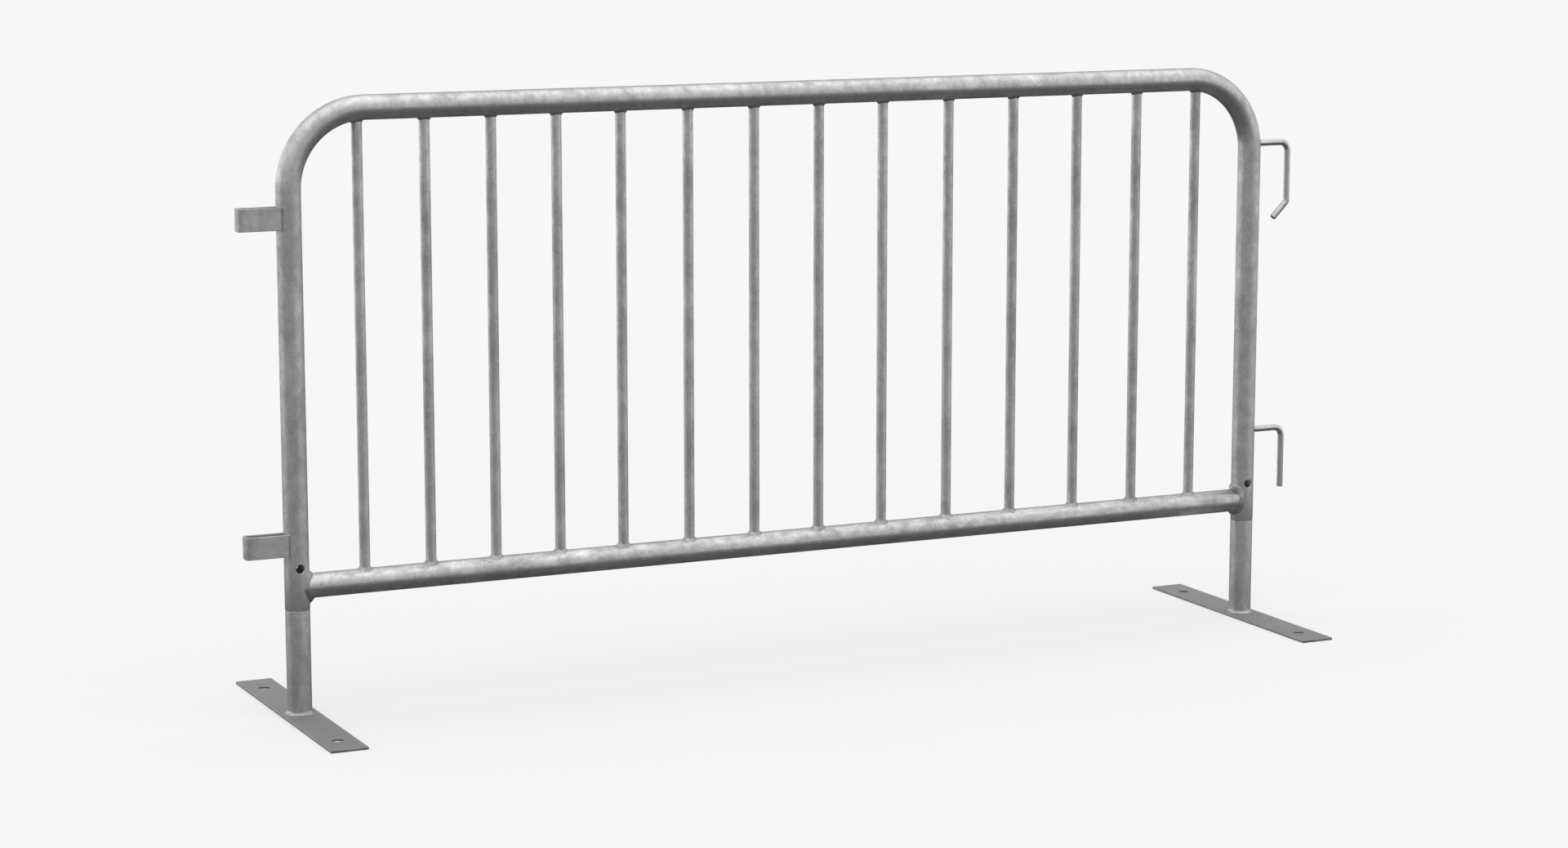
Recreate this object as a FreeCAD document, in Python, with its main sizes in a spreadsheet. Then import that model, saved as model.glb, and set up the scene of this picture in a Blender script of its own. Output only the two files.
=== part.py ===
import FreeCAD, Part
import math
import os
import re
import Sketcher
from FreeCAD import Placement, Rotation, Vector

# Crowd control barrier: a welded, hot-dip galvanised steel panel on two demountable flat feet.
# +X runs along the panel towards the hooks, +Y across it and +Z up. The origin is on the ground,
# midway between the two uprights and in the middle of the panel's thickness. All sizes are in mm.

SIZES = {
    # frame: one tube bent to an inverted U, with a straight rail across it low down
    "span": 1970,               # between the centres of the two uprights
    "overall_height": 1100,     # ground to the top of the handrail
    "tube_od": 44.5,
    "tube_wall": 2,
    "corner_radius": 140,       # to the tube's centre line
    "bend_tail": 20,            # straight tube below each bend, before the plain upright starts
    "rail_height": 234.5,       # centre of the bottom rail
    "seam_height": 194.5,       # where each upright stands on its foot
    # upright bars: their bays widen from left to right, and keep these proportions at any span
    "bar_od": 19,
    "bar_wall": 1.5,
    "end_bay": 126.75,          # centre of an upright to the centre of its nearest bar
    "narrow_bay": 125,
    "middle_bay": 133,
    "wide_bay": 139.5,
    # feet: a flat plate with a short leg, and a loose spigot that joins the leg to the upright
    "plate_length": 560,
    "plate_width": 68,
    "plate_thick": 5,
    "anchor_hole": 22,
    "anchor_spacing": 426,
    "leg_step": 0.25,           # how far the upright stands proud of the leg all round
    "spigot_wall": 2,
    "spigot_fit": 0.3,          # radial clearance in the upright and in the leg
    "spigot_rise": 110,         # how far the spigot reaches up into the upright
    "pin_hole": 16,
    "pin_rise": 75,             # centre of the pin hole above the seam
    # hooks: bent round rod on the right upright
    "hook_rod": 12,
    "hook_reach": 89,           # centre of the upright to the centre of the hook's leg
    "hook_bend": 16.5,
    "upper_hook_below": 152,    # its arm, below the top of the handrail
    "upper_hook_drop": 118,     # from its arm down to its kink
    "kink_bend": 9,
    "kink_angle": 45,
    "hook_tail": 44,            # from the kink to the rod's end
    "lower_hook_height": 375.5,
    "lower_hook_drop": 121,
    # loops: flat strap bent to a U on the left upright, its legs welded to the tube
    "loop_reach": 95,           # centre of the upright to the outside of the loop
    "loop_gap": 20,
    "loop_corner": 9,
    "strap_thick": 5,
    "strap_height": 40,
    "upper_loop_below": 210.5,  # middle of the strap, below the top of the handrail
    "lower_loop_height": 311.5,
    # weld beads: how far they stand out, and how far they run along the piece they hold
    "root_gap": 0.1,            # between two pieces that a bead joins
    "bar_foot_weld": 4.5,
    "bar_foot_weld_run": 6,
    "bar_head_weld": 2.5,
    "bar_head_weld_run": 5,
    "rail_weld": 6,
    "rail_weld_run": 8,
    "rail_weld_side": 1.5,
    "hook_weld": 3,
    "loop_weld": 3.5,
    "foot_weld": 6,
}

# The bays from left to right between the first bar and the last.
BAYS = ["narrow_bay"] * 4 + ["middle_bay"] * 4 + ["wide_bay"] * 3 + ["middle_bay"] * 2

doc = FreeCAD.newDocument("crowd_control_barrier")
sheet = doc.addObject("Spreadsheet::Sheet", "Sizes")
for row, (size_name, size) in enumerate(SIZES.items(), start=1):
    sheet.set(f"A{row}", size_name)
    sheet.set(f"B{row}", str(size))
    sheet.setAlias(f"B{row}", size_name)
doc.recompute()

subparts = []


def rule(text):
    """Write a rule such as 'span / 2' as an expression on the sheet's cells."""
    return re.sub(r"[a-z_]+", lambda word: f"Sizes.{word[0]}" if word[0] in SIZES else word[0], text)


def value(text):
    """What a rule comes to now."""
    return float(sheet.evalExpression(rule(text)))


def bind(thing, **rules):
    """Bind properties to rules. A double underscore stands for a dot."""
    for name, text in rules.items():
        thing.setExpression(name.replace("__", "."), rule(text))


def keep(thing, label):
    """Make a finished piece one of the object's sub-parts."""
    thing.Label = label
    subparts.append(thing)
    return thing


# ---------------------------------------------------------------- sketches

def new_body(name):
    return doc.addObject("PartDesign::Body", name)


def new_sketch(body, name, plane, offset="0"):
    """A sketch on one of the body's own origin planes, moved along that plane's normal."""
    sketch = body.newObject("Sketcher::SketchObject", name)
    side = next(item for item in body.Origin.OriginFeatures if item.Role == plane)
    sketch.AttachmentSupport = (side, [""])
    sketch.MapMode = "FlatFace"
    bind(sketch, AttachmentOffset__Base__z=offset)
    doc.recompute()
    return sketch


def size_it(sketch, name, text, kind, *places):
    """Add a named dimension whose size follows a rule."""
    index = sketch.addConstraint(Sketcher.Constraint(kind, *places, value(text)))
    sketch.renameConstraint(index, name)
    sketch.setExpression(f"Constraints.{name}", rule(text))


def fix(sketch, kind, *places):
    sketch.addConstraint(Sketcher.Constraint(kind, *places))


def circle(sketch, name, diameter, left="0", up="0"):
    """A circle, its centre set out to the left of the origin and above it."""
    centre = Vector(-value(left), value(up), 0)
    index = sketch.addGeometry(Part.Circle(centre, Vector(0, 0, 1), value(diameter) / 2), False)
    size_it(sketch, name + "_diameter", diameter, "Diameter", index)
    size_it(sketch, name + "_left", left, "DistanceX", index, 3, -1, 1)
    size_it(sketch, name + "_up", up, "DistanceY", -1, 1, index, 3)
    return index


def rectangle(sketch, width, height, left="0"):
    """A rectangle about a centre on the sketch's own X axis."""
    half_width, half_height, middle = value(width) / 2, value(height) / 2, -value(left)
    corners = [Vector(middle + sx * half_width, sy * half_height, 0)
               for sx, sy in ((-1, -1), (1, -1), (1, 1), (-1, 1))]
    for start, end in zip(corners, corners[1:] + corners[:1]):
        sketch.addGeometry(Part.LineSegment(start, end), False)
    for side in range(4):
        fix(sketch, "Coincident", side, 2, (side + 1) % 4, 1)
        fix(sketch, "Vertical" if side % 2 else "Horizontal", side)
    size_it(sketch, "width", width, "DistanceX", 0, 1, 0, 2)
    size_it(sketch, "height", height, "DistanceY", 1, 1, 1, 2)
    size_it(sketch, "drop", f"({height}) / 2", "DistanceY", 0, 1, -1, 1)
    size_it(sketch, "left", f"({left}) + ({width}) / 2", "DistanceX", 0, 1, -1, 1)


def arc(centre, radius, first, last):
    ring = Part.Circle(centre, Vector(0, 0, 1), radius)
    return Part.ArcOfCircle(ring, math.radians(first), math.radians(last))


def u_path(sketch, width, start, top, radius):
    """Two legs and a cross piece in one line, with a round corner between each pair."""
    half, low, high, round_by = value(width) / 2, value(start), value(top), value(radius)
    shoulder = high - round_by
    sketch.addGeometry([
        Part.LineSegment(Vector(-half, low, 0), Vector(-half, shoulder, 0)),
        arc(Vector(-half + round_by, shoulder, 0), round_by, 90, 180),
        Part.LineSegment(Vector(-half + round_by, high, 0), Vector(half - round_by, high, 0)),
        arc(Vector(half - round_by, shoulder, 0), round_by, 0, 90),
        Part.LineSegment(Vector(half, shoulder, 0), Vector(half, low, 0)),
    ], False)
    for first, first_end, second, second_end in ((0, 2, 1, 2), (1, 1, 2, 1), (2, 2, 3, 2), (3, 1, 4, 1)):
        fix(sketch, "Tangent", first, first_end, second, second_end)
    fix(sketch, "Vertical", 0)
    fix(sketch, "Equal", 1, 3)
    fix(sketch, "Symmetric", 0, 1, 4, 2, -2)
    size_it(sketch, "corner", radius, "Radius", 1)
    size_it(sketch, "wide", width, "DistanceX", 0, 1, 4, 2)
    size_it(sketch, "start", start, "DistanceY", -1, 1, 0, 1)
    size_it(sketch, "top", top, "DistanceY", -1, 1, 2, 1)


def sweep(body, profile, path):
    pipe = body.newObject("PartDesign::AdditivePipe", body.Name + "_sweep")
    pipe.Profile = profile
    pipe.Spine = (path, [f"Edge{number}" for number in range(1, path.GeometryCount + 1)])
    pipe.Mode = "Frenet"
    doc.recompute()
    return pipe


def through(body, sketch, name):
    """Cut a sketch's outline right through the body, both ways from its plane."""
    before = body.Shape.Volume
    pocket = body.newObject("PartDesign::Pocket", name)
    pocket.Profile = sketch
    pocket.Type = "ThroughAll"
    pocket.SideType = "Symmetric"
    doc.recompute()
    if body.Shape.Volume >= before:
        raise ValueError(f"{name} cuts nothing")
    return pocket


def tube_body(name, x, outside, inside, low, length):
    """A plain upright tube as a padded ring."""
    body = new_body(name)
    bind(body, Placement__Base__x=x, Placement__Base__z=low)
    ring = new_sketch(body, name + "_ring", "XY_Plane")
    circle(ring, "outside", outside)
    circle(ring, "inside", inside)
    pad = body.newObject("PartDesign::Pad", name + "_pad")
    pad.Profile = ring
    bind(pad, Length=length)
    doc.recompute()
    return body


def cross_hole(body, up):
    """The hole for a locking pin, right through a tube from front to back."""
    sketch = new_sketch(body, body.Name + "_pin_hole", "XZ_Plane")
    circle(sketch, "hole", "pin_hole", up=up)
    through(body, sketch, body.Name + "_pin_cut")


# ---------------------------------------------------------------- primitives

def cylinder(name, radius, length, x="0", y="0", z="0", axis=Vector(0, 0, 1)):
    rod = doc.addObject("Part::Cylinder", name)
    rod.Placement = Placement(Vector(), Rotation(Vector(0, 0, 1), axis))
    bind(rod, Radius=radius, Height=length, Placement__Base__x=x, Placement__Base__y=y, Placement__Base__z=z)
    return rod


def cone(name, start_radius, end_radius, length, x="0", y="0", z="0", axis=Vector(0, 0, 1)):
    taper = doc.addObject("Part::Cone", name)
    taper.Placement = Placement(Vector(), Rotation(Vector(0, 0, 1), axis))
    bind(taper, Radius1=start_radius, Radius2=end_radius, Height=length,
         Placement__Base__x=x, Placement__Base__y=y, Placement__Base__z=z)
    return taper


def cut(name, base, *tools):
    """Take each tool away from the base in turn."""
    for number, tool in enumerate(tools, start=1):
        step = doc.addObject("Part::Cut", f"{name}_cut_{number}")
        step.Base = base
        step.Tool = tool
        base = step
    return base


def group(name, pieces):
    together = doc.addObject("Part::Compound", name)
    together.Links = pieces
    return together


# ---------------------------------------------------------------- bent frame and bottom rail

BORE = "tube_od - 2 * tube_wall"
HANDRAIL = "overall_height - tube_od / 2"
UPRIGHT_TOP = f"{HANDRAIL} - corner_radius - bend_tail"


def inverted_u(name, low, *diameters):
    """A handrail with a bend and a leg at each end, swept from circles at the foot of its left leg."""
    body = new_body(name)
    path = new_sketch(body, name + "_path", "XZ_Plane")
    u_path(path, "span", low, HANDRAIL, "corner_radius")
    ring = new_sketch(body, name + "_section", "XY_Plane", low)
    for number, diameter in enumerate(diameters, start=1):
        circle(ring, f"ring_{number}", diameter, left="span / 2")
    sweep(body, ring, path)
    return body


# The frame is one tube bent to an inverted U. It is held as three sub-parts, which meet face to face
# a little below its bends: the handrail with both bends, and the two straight uprights.
keep(inverted_u("handrail", UPRIGHT_TOP, "tube_od", BORE), "handrail")
for side, sign in (("left", -1), ("right", 1)):
    upright = tube_body(f"{side}_upright", f"{sign} * span / 2", "tube_od", BORE, "seam_height",
                        f"{UPRIGHT_TOP} - seam_height")
    cross_hole(upright, "pin_rise")
    keep(upright, f"{side}_upright")

# What is welded to the frame is cut back to this envelope, a root gap outside the tube.
frame_envelope = inverted_u("frame_envelope", "seam_height", "tube_od + 2 * root_gap")
rail_envelope = cylinder("rail_envelope", "tube_od / 2 + root_gap", "span", x="-span / 2", z="rail_height",
                         axis=Vector(1, 0, 0))

rail_outside = cylinder("rail_outside", "tube_od / 2", "span", x="-span / 2", z="rail_height",
                        axis=Vector(1, 0, 0))
rail_bore = cylinder("rail_bore", "tube_od / 2 - tube_wall", "span", x="-span / 2", z="rail_height",
                     axis=Vector(1, 0, 0))
keep(cut("bottom_rail", rail_outside, rail_bore, frame_envelope), "bottom_rail")


# ---------------------------------------------------------------- upright bars and their welds

def bar_place(number):
    """How far bar number 0, 1, 2 ... stands from the middle of the panel."""
    passed = " + ".join(BAYS[:number]) or "0"
    return f"-span / 2 + end_bay + (span - 2 * end_bay) * ({passed}) / ({' + '.join(BAYS)})"


def underside(place):
    """Height of the handrail's underside, which drops where a bar stands under a bent corner."""
    into_bend = f"max(0; abs({place}) - span / 2 + corner_radius)"
    return f"{HANDRAIL} - corner_radius + sqrt((corner_radius - tube_od / 2) ^ 2 - {into_bend} ^ 2)"


foot_welds = []
head_welds = []
RAIL_TOP = "rail_height + tube_od / 2"
for bar_number in range(len(BAYS) + 1):
    name = f"bar_{bar_number + 1:02d}"
    place = bar_place(bar_number)
    full_length = f"{HANDRAIL} - rail_height"
    outside = cylinder(name + "_outside", "bar_od / 2", full_length, x=place, z="rail_height")
    bore = cylinder(name + "_bore", "bar_od / 2 - bar_wall", full_length, x=place, z="rail_height")
    keep(cut(name, outside, bore, rail_envelope, frame_envelope), name)

    # A bead is a cone round the bar. It starts inside the rail, because the rail's top is round.
    clearance = cylinder(name + "_clearance", "bar_od / 2 + root_gap", full_length, x=place, z="rail_height")
    foot_bead = cone(name + "_foot_bead", "bar_od / 2 + bar_foot_weld", "bar_od / 2",
                     "2 * bar_foot_weld_run", x=place, z=f"{RAIL_TOP} - bar_foot_weld_run")
    head_bead = cone(name + "_head_bead", "bar_od / 2", "bar_od / 2 + bar_head_weld",
                     "2 * bar_head_weld_run", x=place, z=f"{underside(place)} - bar_head_weld_run")
    foot_welds.append(cut(name + "_foot_weld", foot_bead, clearance, rail_envelope))
    head_welds.append(cut(name + "_head_weld", head_bead, clearance, frame_envelope))

# The beads of two neighbouring bars make one sub-part at their feet and one at their heads.
for first in range(0, len(foot_welds), 2):
    name = f"bars_{first + 1:02d}_{first + 2:02d}"
    keep(group(name + "_foot_pair", foot_welds[first:first + 2]), name + "_foot_welds")
    keep(group(name + "_head_pair", head_welds[first:first + 2]), name + "_head_welds")


# ---------------------------------------------------------------- welds between rail and uprights

def rail_weld(name, sign):
    """A collar in the corner between two tubes of one size, nearly flush at their sides."""
    centre = f"{sign} * span / 2"
    round_rail = cylinder(name + "_round_rail", "tube_od / 2 + rail_weld", "tube_od / 2 + rail_weld_run",
                          x=centre, z="rail_height", axis=Vector(-sign, 0, 0))
    round_upright = cylinder(name + "_round_upright", "tube_od / 2 + rail_weld_run",
                             "tube_od + 4 * rail_weld", x=centre,
                             z="rail_height - tube_od / 2 - 2 * rail_weld")
    sides = doc.addObject("Part::Box", name + "_sides")
    bind(sides, Length="span", Width="tube_od + 2 * rail_weld_side", Height="overall_height",
         Placement__Base__x="-span / 2", Placement__Base__y="-tube_od / 2 - rail_weld_side")
    collar = doc.addObject("Part::MultiCommon", name + "_collar")
    collar.Shapes = [round_rail, round_upright, sides]
    return keep(cut(name, collar, rail_envelope, frame_envelope), name)


rail_weld("left_rail_weld", -1)
rail_weld("right_rail_weld", 1)


# ---------------------------------------------------------------- hooks

UPPER_HOOK_HEIGHT = "overall_height - upper_hook_below"


def hook_rod(name, height, drop, kinked):
    """A rod that leaves the right upright level, and turns down. It starts on the upright's centre line."""
    body = new_body(name)
    bind(body, Placement__Base__x="span / 2", Placement__Base__z=height)
    path = new_sketch(body, name + "_path", "XZ_Plane")
    reach, bend, down = value("hook_reach"), value("hook_bend"), value(drop)
    easing = "kink_bend * tan(kink_angle / 2 * 1 deg)" if kinked else "0"
    leg_end = down - value(easing)
    path.addGeometry([
        Part.LineSegment(Vector(0, 0, 0), Vector(reach - bend, 0, 0)),
        arc(Vector(reach - bend, -bend, 0), bend, 0, 90),
        Part.LineSegment(Vector(reach, -bend, 0), Vector(reach, -leg_end, 0)),
    ], False)
    fix(path, "Coincident", 0, 1, -1, 1)
    fix(path, "Horizontal", 0)
    fix(path, "Tangent", 0, 2, 1, 2)
    fix(path, "Tangent", 1, 1, 2, 1)
    size_it(path, "reach", "hook_reach", "DistanceX", -1, 1, 2, 1)
    size_it(path, "bend", "hook_bend", "Radius", 1)
    size_it(path, "drop", f"{drop} - {easing}", "DistanceY", 2, 2, -1, 1)
    if kinked:
        angle, round_by = value("kink_angle"), value("kink_bend")
        knee = Vector(reach - round_by, -leg_end, 0)
        turned = Rotation(Vector(0, 0, 1), -angle)
        tail_start = knee + turned.multVec(Vector(1, 0, 0)) * round_by
        tail = turned.multVec(Vector(0, -1, 0)) * (value("hook_tail") - value(easing))
        path.addGeometry([
            arc(knee, round_by, -angle, 0),
            Part.LineSegment(tail_start, tail_start + tail),
        ], False)
        fix(path, "Tangent", 2, 2, 3, 2)
        fix(path, "Tangent", 3, 1, 4, 1)
        size_it(path, "knee", "kink_bend", "Radius", 3)
        size_it(path, "tail", f"hook_tail - {easing}", "Distance", 4)
        size_it(path, "tail_in", f"(hook_tail - {easing}) * sin(kink_angle * 1 deg)", "DistanceX", 4, 2, 4, 1)
    section = new_sketch(body, name + "_section", "YZ_Plane")
    circle(section, "rod", "hook_rod")
    sweep(body, section, path)
    return body


for side, height, drop, kinked in (("upper", UPPER_HOOK_HEIGHT, "upper_hook_drop", True),
                                   ("lower", "lower_hook_height", "lower_hook_drop", False)):
    rod = hook_rod(f"{side}_hook_rod", height, drop, kinked)
    keep(cut(f"{side}_hook", rod, frame_envelope), f"{side}_hook")
    bead = cone(f"{side}_hook_bead", "hook_rod / 2 + hook_weld", "hook_rod / 2", "2 * hook_weld",
                x="(span + tube_od) / 2 - hook_weld", z=height, axis=Vector(1, 0, 0))
    clearance = cylinder(f"{side}_hook_clearance", "hook_rod / 2 + root_gap", "3 * hook_weld",
                         x="(span + tube_od) / 2 - 1.5 * hook_weld", z=height, axis=Vector(1, 0, 0))
    keep(cut(f"{side}_hook_weld", bead, clearance, frame_envelope), f"{side}_hook_weld")


# ---------------------------------------------------------------- loops

# The strap's outside face ends on the tube, this far from the upright's centre. The rest is coped.
STRAP_START = "sqrt((tube_od / 2) ^ 2 - (loop_gap / 2 + strap_thick) ^ 2)"


def bent_strap(name, height):
    """Flat strap bent to a U. Its own +Y points away from the left upright."""
    body = new_body(name)
    body.Placement = Placement(Vector(), Rotation(Vector(0, 0, 1), 90))
    bind(body, Placement__Base__x="-span / 2", Placement__Base__z=height)
    path = new_sketch(body, name + "_path", "XY_Plane")
    u_path(path, "loop_gap + strap_thick", STRAP_START, "loop_reach - strap_thick / 2",
           "loop_corner - strap_thick / 2")
    section = new_sketch(body, name + "_section", "XZ_Plane", f"-({STRAP_START})")
    rectangle(section, "strap_thick", "strap_height", left="(loop_gap + strap_thick) / 2")
    sweep(body, section, path)
    return body


def loop_welds(name, height, strap):
    """A bead down each end of the strap, in the corner that it makes with the tube's side."""
    beads = []
    for side, sign in (("near", -1), ("far", 1)):
        bead = cylinder(f"{name}_{side}", "loop_weld", "strap_height",
                        x=f"-span / 2 - ({STRAP_START}) + loop_weld / 2",
                        y=f"{sign} * (loop_gap / 2 + strap_thick - loop_weld / 4)",
                        z=f"{height} - strap_height / 2")
        beads.append(cut(f"{name}_{side}_bead", bead, strap, frame_envelope))
    return keep(group(name + "_pair", beads), name)


for side, height in (("upper", "overall_height - upper_loop_below"), ("lower", "lower_loop_height")):
    strap = cut(f"{side}_loop", bent_strap(f"{side}_loop_strap", height), frame_envelope)
    keep(strap, f"{side}_loop")
    loop_welds(f"{side}_loop_welds", height, strap)


# ---------------------------------------------------------------- feet

LEG_OD = "tube_od - 2 * leg_step"


def foot(side, sign):
    """A flat plate, the leg welded on it, and the loose spigot that stands in the leg."""
    centre = f"{sign} * span / 2"

    plate = new_body(f"{side}_foot_plate")
    bind(plate, Placement__Base__x=centre)
    outline = new_sketch(plate, f"{side}_plate_outline", "XY_Plane")
    rectangle(outline, "plate_width", "plate_length")
    pad = plate.newObject("PartDesign::Pad", f"{side}_plate_pad")
    pad.Profile = outline
    bind(pad, Length="plate_thick")
    doc.recompute()
    anchors = new_sketch(plate, f"{side}_anchor_holes", "XY_Plane")
    circle(anchors, "front_hole", "anchor_hole", up="-anchor_spacing / 2")
    circle(anchors, "back_hole", "anchor_hole", up="anchor_spacing / 2")
    through(plate, anchors, f"{side}_anchor_cut")
    keep(plate, f"{side}_foot_plate")

    keep(tube_body(f"{side}_leg", centre, LEG_OD, BORE, "plate_thick", "seam_height - plate_thick"),
         f"{side}_leg")

    spigot = tube_body(f"{side}_spigot", centre, f"{BORE} - 2 * spigot_fit",
                       f"{BORE} - 2 * spigot_fit - 2 * spigot_wall", "plate_thick",
                       "seam_height - plate_thick + spigot_rise")
    cross_hole(spigot, "seam_height - plate_thick + pin_rise")
    keep(spigot, f"{side}_spigot")

    bead = cone(f"{side}_foot_bead", f"({LEG_OD}) / 2 + foot_weld", f"({LEG_OD}) / 2", "foot_weld",
                x=centre, z="plate_thick")
    clearance = cylinder(f"{side}_foot_clearance", f"({LEG_OD}) / 2", "3 * foot_weld",
                         x=centre, z="plate_thick - foot_weld")
    keep(cut(f"{side}_foot_weld", bead, clearance), f"{side}_foot_weld")


foot("left", -1)
foot("right", 1)


# ---------------------------------------------------------------- checks and files

doc.recompute()
failed = [item.Name for item in doc.Objects if {"Invalid", "Error"} & set(item.State)]
for piece in subparts:
    if piece.Shape.isNull() or not piece.Shape.isValid() or not piece.Shape.Solids:
        failed.append(piece.Label)
if failed:
    raise ValueError("these did not build: " + ", ".join(failed))

os.makedirs("parts", exist_ok=True)
for piece in subparts:
    piece.Shape.exportStep(f"parts/{piece.Label}.step")
    size = piece.Shape.optimalBoundingBox(False)
    print(f"{piece.Label:22} {len(piece.Shape.Solids):3} solids {piece.Shape.Volume / 1000:9.2f} cm3  "
          f"x {size.XMin:8.1f} {size.XMax:8.1f}  y {size.YMin:7.1f} {size.YMax:7.1f}  "
          f"z {size.ZMin:7.1f} {size.ZMax:7.1f}")
print(len(subparts), "sub-parts")
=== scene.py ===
# %% [markdown]
# # A crowd control barrier in hot-dip galvanised steel
# The barrier is a panel of welded tube on two flat feet. The frame already exists as a packed design, so
# this lesson only gives it its looks: smooth tubes, real weld beads, softened edges and a zinc skin.
# Every piece is measured from that design, in metres, and rides on one of its bodies.

# %% Load the frame
import math

import bpy
import bmesh
from mathutils import Matrix, Vector


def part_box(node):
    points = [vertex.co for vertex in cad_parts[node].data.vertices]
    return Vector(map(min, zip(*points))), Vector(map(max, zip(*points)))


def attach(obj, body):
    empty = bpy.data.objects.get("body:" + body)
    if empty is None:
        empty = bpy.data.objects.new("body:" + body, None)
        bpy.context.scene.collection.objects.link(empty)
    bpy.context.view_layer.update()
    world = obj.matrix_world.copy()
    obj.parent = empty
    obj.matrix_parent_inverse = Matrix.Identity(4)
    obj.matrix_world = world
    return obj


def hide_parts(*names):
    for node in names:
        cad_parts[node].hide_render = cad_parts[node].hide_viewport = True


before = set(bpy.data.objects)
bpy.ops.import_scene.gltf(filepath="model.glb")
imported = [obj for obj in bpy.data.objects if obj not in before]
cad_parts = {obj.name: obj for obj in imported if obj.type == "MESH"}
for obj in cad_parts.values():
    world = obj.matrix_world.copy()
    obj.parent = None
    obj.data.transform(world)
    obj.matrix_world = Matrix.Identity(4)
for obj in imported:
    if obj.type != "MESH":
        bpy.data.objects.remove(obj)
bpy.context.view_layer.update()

MM = 0.001


# %% [markdown]
# The design gives each node's box. From those few boxes come the sizes that the rest of the lesson
# uses: where the tubes' centre lines run and how thick they are. Only radii of bends and edges, which
# a box can't tell, are written down as numbers.

# %% Measure the frame
def middle(node):
    low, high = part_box(node)
    return (low + high) / 2


def extent(node):
    low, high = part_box(node)
    return high - low


LEFT = middle("left_upright").x
RIGHT = middle("right_upright").x
TUBE = extent("left_upright").x / 2          # outside radius of the frame's tube
BORE = TUBE - 2 * MM                         # its bore, with a wall of 2 mm
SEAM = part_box("left_upright")[0].z           # where an upright stands on its leg
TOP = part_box("handrail")[1].z - TUBE         # centre of the handrail
RAIL = middle("bottom_rail").z               # centre of the bottom rail
BARS = [f"bar_{number:02d}" for number in range(1, 15)]
BAR = extent(BARS[0]).x / 2
BEND = 140 * MM                              # bend of the frame's corners, to the tube's centre
PIN_HEIGHT = SEAM + 75 * MM
PIN_HOLE = 8 * MM
print(f"span {RIGHT - LEFT:.3f} m, tube {2 * TUBE:.4f} m, bar {2 * BAR:.4f} m")


# %% [markdown]
# Shader sums read best as sums. A small class wraps a socket, so that `1 - mask` or `cloud * 0.4`
# adds the Math node by itself. One method makes every other kind of node: it sets the node's
# settings first, and then fills or links its sockets.

# %% Write shader maths as expressions
class Signal:
    """A socket that can be added to, multiplied and so on."""

    def __init__(self, finish, socket):
        self.finish, self.socket = finish, socket

    def math(self, operation, first, second):
        return self.finish.node("ShaderNodeMath", {"operation": operation}, {0: first, 1: second})

    def __add__(self, other):
        return self.math("ADD", self, other)

    def __radd__(self, other):
        return self.math("ADD", other, self)

    def __sub__(self, other):
        return self.math("SUBTRACT", self, other)

    def __rsub__(self, other):
        return self.math("SUBTRACT", other, self)

    def __mul__(self, other):
        return self.math("MULTIPLY", self, other)

    def __rmul__(self, other):
        return self.math("MULTIPLY", other, self)


class Finish:
    """A node tree of a material or of the world."""

    def __init__(self, owner):
        owner.use_nodes = True
        self.owner, self.tree = owner, owner.node_tree
        self.tree.nodes.clear()

    def node(self, kind, settings=None, inputs=None, output=0):
        made = self.tree.nodes.new(kind)
        for name, setting in (settings or {}).items():
            if name == "stops":
                for stop, (place, shade) in zip(made.color_ramp.elements, setting):
                    stop.position, stop.color = place, (shade, shade, shade, 1)
                for place, shade in setting[2:]:
                    made.color_ramp.elements.new(place).color = (shade, shade, shade, 1)
            else:
                setattr(made, name, setting)
        for name, value in (inputs or {}).items():
            if isinstance(value, Signal):
                self.tree.links.new(value.socket, made.inputs[name])
            else:
                made.inputs[name].default_value = value
        return Signal(self, made.outputs[output]) if made.outputs else made

    def clamp(self, signal):
        return self.node("ShaderNodeClamp", {}, {"Value": signal})

    def noise(self, place, size, detail=3.0, roughness=0.55):
        """Soft lumps of about this size in metres, from 0 to 1."""
        return self.node("ShaderNodeTexNoise", {"normalize": True},
                         {"Vector": place, "Scale": 1 / size, "Detail": detail, "Roughness": roughness})

    def spread(self, signal, low, high):
        """0 at low and past it, 1 at high and past it, with a smooth step between."""
        return self.node("ShaderNodeMapRange", {"interpolation_type": "SMOOTHSTEP", "clamp": True},
                         {"Value": signal, "From Min": low, "From Max": high})


print("Signal does the sums, and Finish builds the trees")


# %% [markdown]
# ## Hot-dip galvanised steel
# A dipped part comes out of the zinc with a dull grey skin. It isn't one grey: the zinc drains and
# cools in clouds a few centimetres wide, with paler crystals and darker freckles in them, and old
# water leaves tide marks with a ragged edge. The shine changes with them, so the same clouds drive
# the colour and the roughness, and a very small bump breaks up the highlights. Each pattern has a size
# and a depth, which is how far it lightens and darkens the grey.

# %% Mix the zinc
CLOUD, CLOUD_DEPTH = 70 * MM, 0.36
MOTTLE, MOTTLE_DEPTH = 18 * MM, 0.5
SPONGE, SPONGE_DEPTH = 4.2 * MM, 0.42
TIDE, TIDE_DEPTH = 120 * MM, 0.14
SPOT, SPOT_DEPTH = 7.5 * MM, 0.14
SKIN_DEPTH = 0.5 * MM                        # the most that the bump can raise the surface
METALLIC = 0.9                               # the rest is the dull crust of old zinc


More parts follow.
